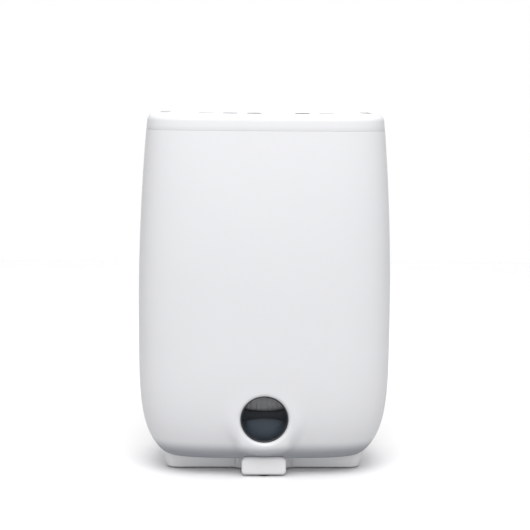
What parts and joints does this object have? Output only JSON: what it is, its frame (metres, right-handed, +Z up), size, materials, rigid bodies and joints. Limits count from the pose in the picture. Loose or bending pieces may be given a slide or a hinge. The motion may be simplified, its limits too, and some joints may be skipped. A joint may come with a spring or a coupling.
{
  "type": "desiccant dehumidifier",
  "caption": "Slim upright domestic dehumidifier with a rounded casing, top air outlet flap and buttons, round tank window, recessed plinth and a rear slide-out water tank.",
  "frame": {"origin": "on the floor, under the middle of the casing's width and depth", "axes": "+Z up; the front with the round window faces -Y; +X is to the right seen from the front"},
  "size_m": [0.351, 0.19, 0.502],
  "materials": {
    "casing_white": "smooth satin white moulding",
    "inner_grey": "matt light grey moulding",
    "dark_plastic": "satin near-black moulding",
    "button_grey": "semi-gloss dark grey",
    "clear_smoke": "clear, slightly smoked moulding",
    "steel": "plain zinc-plated steel",
    "circuit_board": "green solder mask",
    "desiccant": "fine corrugated ceramic paper",
    "rubber_black": "matt black rubber"
  },
  "bodies": {
    "housing": {"front_shell": "casing_white", "rear_shell": "casing_white", "top_cover": "casing_white", "base_plate": "inner_grey", "plinth": "casing_white", "toe_foot": "casing_white", "rubber_feet": "rubber_black", "porthole_bezel": "dark_plastic", "porthole_lens": "clear_smoke", "grip_cup_left": "inner_grey", "grip_cup_right": "inner_grey", "display_lens": "casing_white", "keypad_mat": "rubber_black", "control_board": "circuit_board", "outlet_grille": "dark_plastic", "outlet_throat": "inner_grey", "fan_scroll": "inner_grey", "fan_motor": "steel", "wheel_frame": "inner_grey", "wheel_axle": "steel", "wheel_motor": "steel", "heater_box": "steel", "blower_housing": "inner_grey", "blower_motor": "steel", "condenser": "clear_smoke", "drain_tray": "inner_grey", "tank_bay": "inner_grey", "main_board": "circuit_board", "board_cover": "dark_plastic", "level_switch": "dark_plastic", "flap_motor": "dark_plastic", "cord_gland": "rubber_black", "drain_spigot": "inner_grey", "chassis": "inner_grey", "intake_grille": "dark_plastic", "casing_screws": "steel"},
    "flap": {"outlet_flap": "casing_white"},
    "button_one": {"button_1": "button_grey"},
    "button_two": {"button_2": "button_grey"},
    "button_three": {"button_3": "button_grey"},
    "button_four": {"button_4": "button_grey"},
    "button_five": {"button_5": "button_grey"},
    "wheel": {"desiccant_core": "desiccant", "wheel_rim": "dark_plastic", "wheel_hub": "dark_plastic"},
    "pinion": {"wheel_pinion": "inner_grey"},
    "process_fan": {"process_impeller": "dark_plastic"},
    "regeneration_fan": {"blower_impeller": "dark_plastic"},
    "tank": {"tank_body": "clear_smoke", "tank_lid": "inner_grey", "tank_face": "casing_white", "tank_grip": "dark_plastic", "float_bracket": "inner_grey"},
    "float": {"float_arm": "dark_plastic"},
    "filter": {"filter_frame": "inner_grey", "filter_mesh": "dark_plastic"}
  },
  "joints": [
    {"name": "outlet_flap_hinge", "type": "hinge", "parent": "housing", "child": "flap", "pos_m": [0, 0.05122, 0.4964], "axis": [-1, 0, 0], "range_deg": [0, 80]},
    {"name": "button_1_press", "type": "slide", "parent": "housing", "child": "button_one", "axis": [0, 0, -1], "range_m": [0, 0.0008], "stiffness_N_per_m": 800, "springref_m": -0.001},
    {"name": "button_2_press", "type": "slide", "parent": "housing", "child": "button_two", "axis": [0, 0, -1], "range_m": [0, 0.0008], "stiffness_N_per_m": 800, "springref_m": -0.001},
    {"name": "button_3_press", "type": "slide", "parent": "housing", "child": "button_three", "axis": [0, 0, -1], "range_m": [0, 0.0008], "stiffness_N_per_m": 800, "springref_m": -0.001},
    {"name": "button_4_press", "type": "slide", "parent": "housing", "child": "button_four", "axis": [0, 0, -1], "range_m": [0, 0.0008], "stiffness_N_per_m": 800, "springref_m": -0.001},
    {"name": "button_5_press", "type": "slide", "parent": "housing", "child": "button_five", "axis": [0, 0, -1], "range_m": [0, 0.0008], "stiffness_N_per_m": 800, "springref_m": -0.001},
    {"name": "desiccant_wheel_spin", "type": "hinge", "parent": "housing", "child": "wheel", "pos_m": [-0.022, 0, 0.2885], "axis": [0, 1, 0], "continuous": true},
    {"name": "wheel_pinion_spin", "type": "hinge", "parent": "housing", "child": "pinion", "pos_m": [0.06839, 0, 0.21788], "axis": [0, 1, 0], "continuous": true},
    {"name": "process_fan_spin", "type": "hinge", "parent": "housing", "child": "process_fan", "pos_m": [-0.022, -0.07571, 0.2885], "axis": [0, 1, 0], "continuous": true},
    {"name": "regeneration_fan_spin", "type": "hinge", "parent": "housing", "child": "regeneration_fan", "pos_m": [0.112, -0.02771, 0.3665], "axis": [0, 1, 0], "continuous": true},
    {"name": "tank_slide", "type": "slide", "parent": "housing", "child": "tank", "axis": [0, 1, 0], "range_m": [0, 0.17]},
    {"name": "float_lift", "type": "hinge", "parent": "tank", "child": "float", "pos_m": [0.062, -0.02, 0.1095], "axis": [1, 0, 0], "range_deg": [0, 18]},
    {"name": "filter_pull", "type": "slide", "parent": "housing", "child": "filter", "axis": [0, 1, 0], "range_m": [0, 0.06]}
  ],
  "couplings": [
    {"joint": "wheel_pinion_spin", "follows": "desiccant_wheel_spin", "ratio": -6.6667}
  ]
}
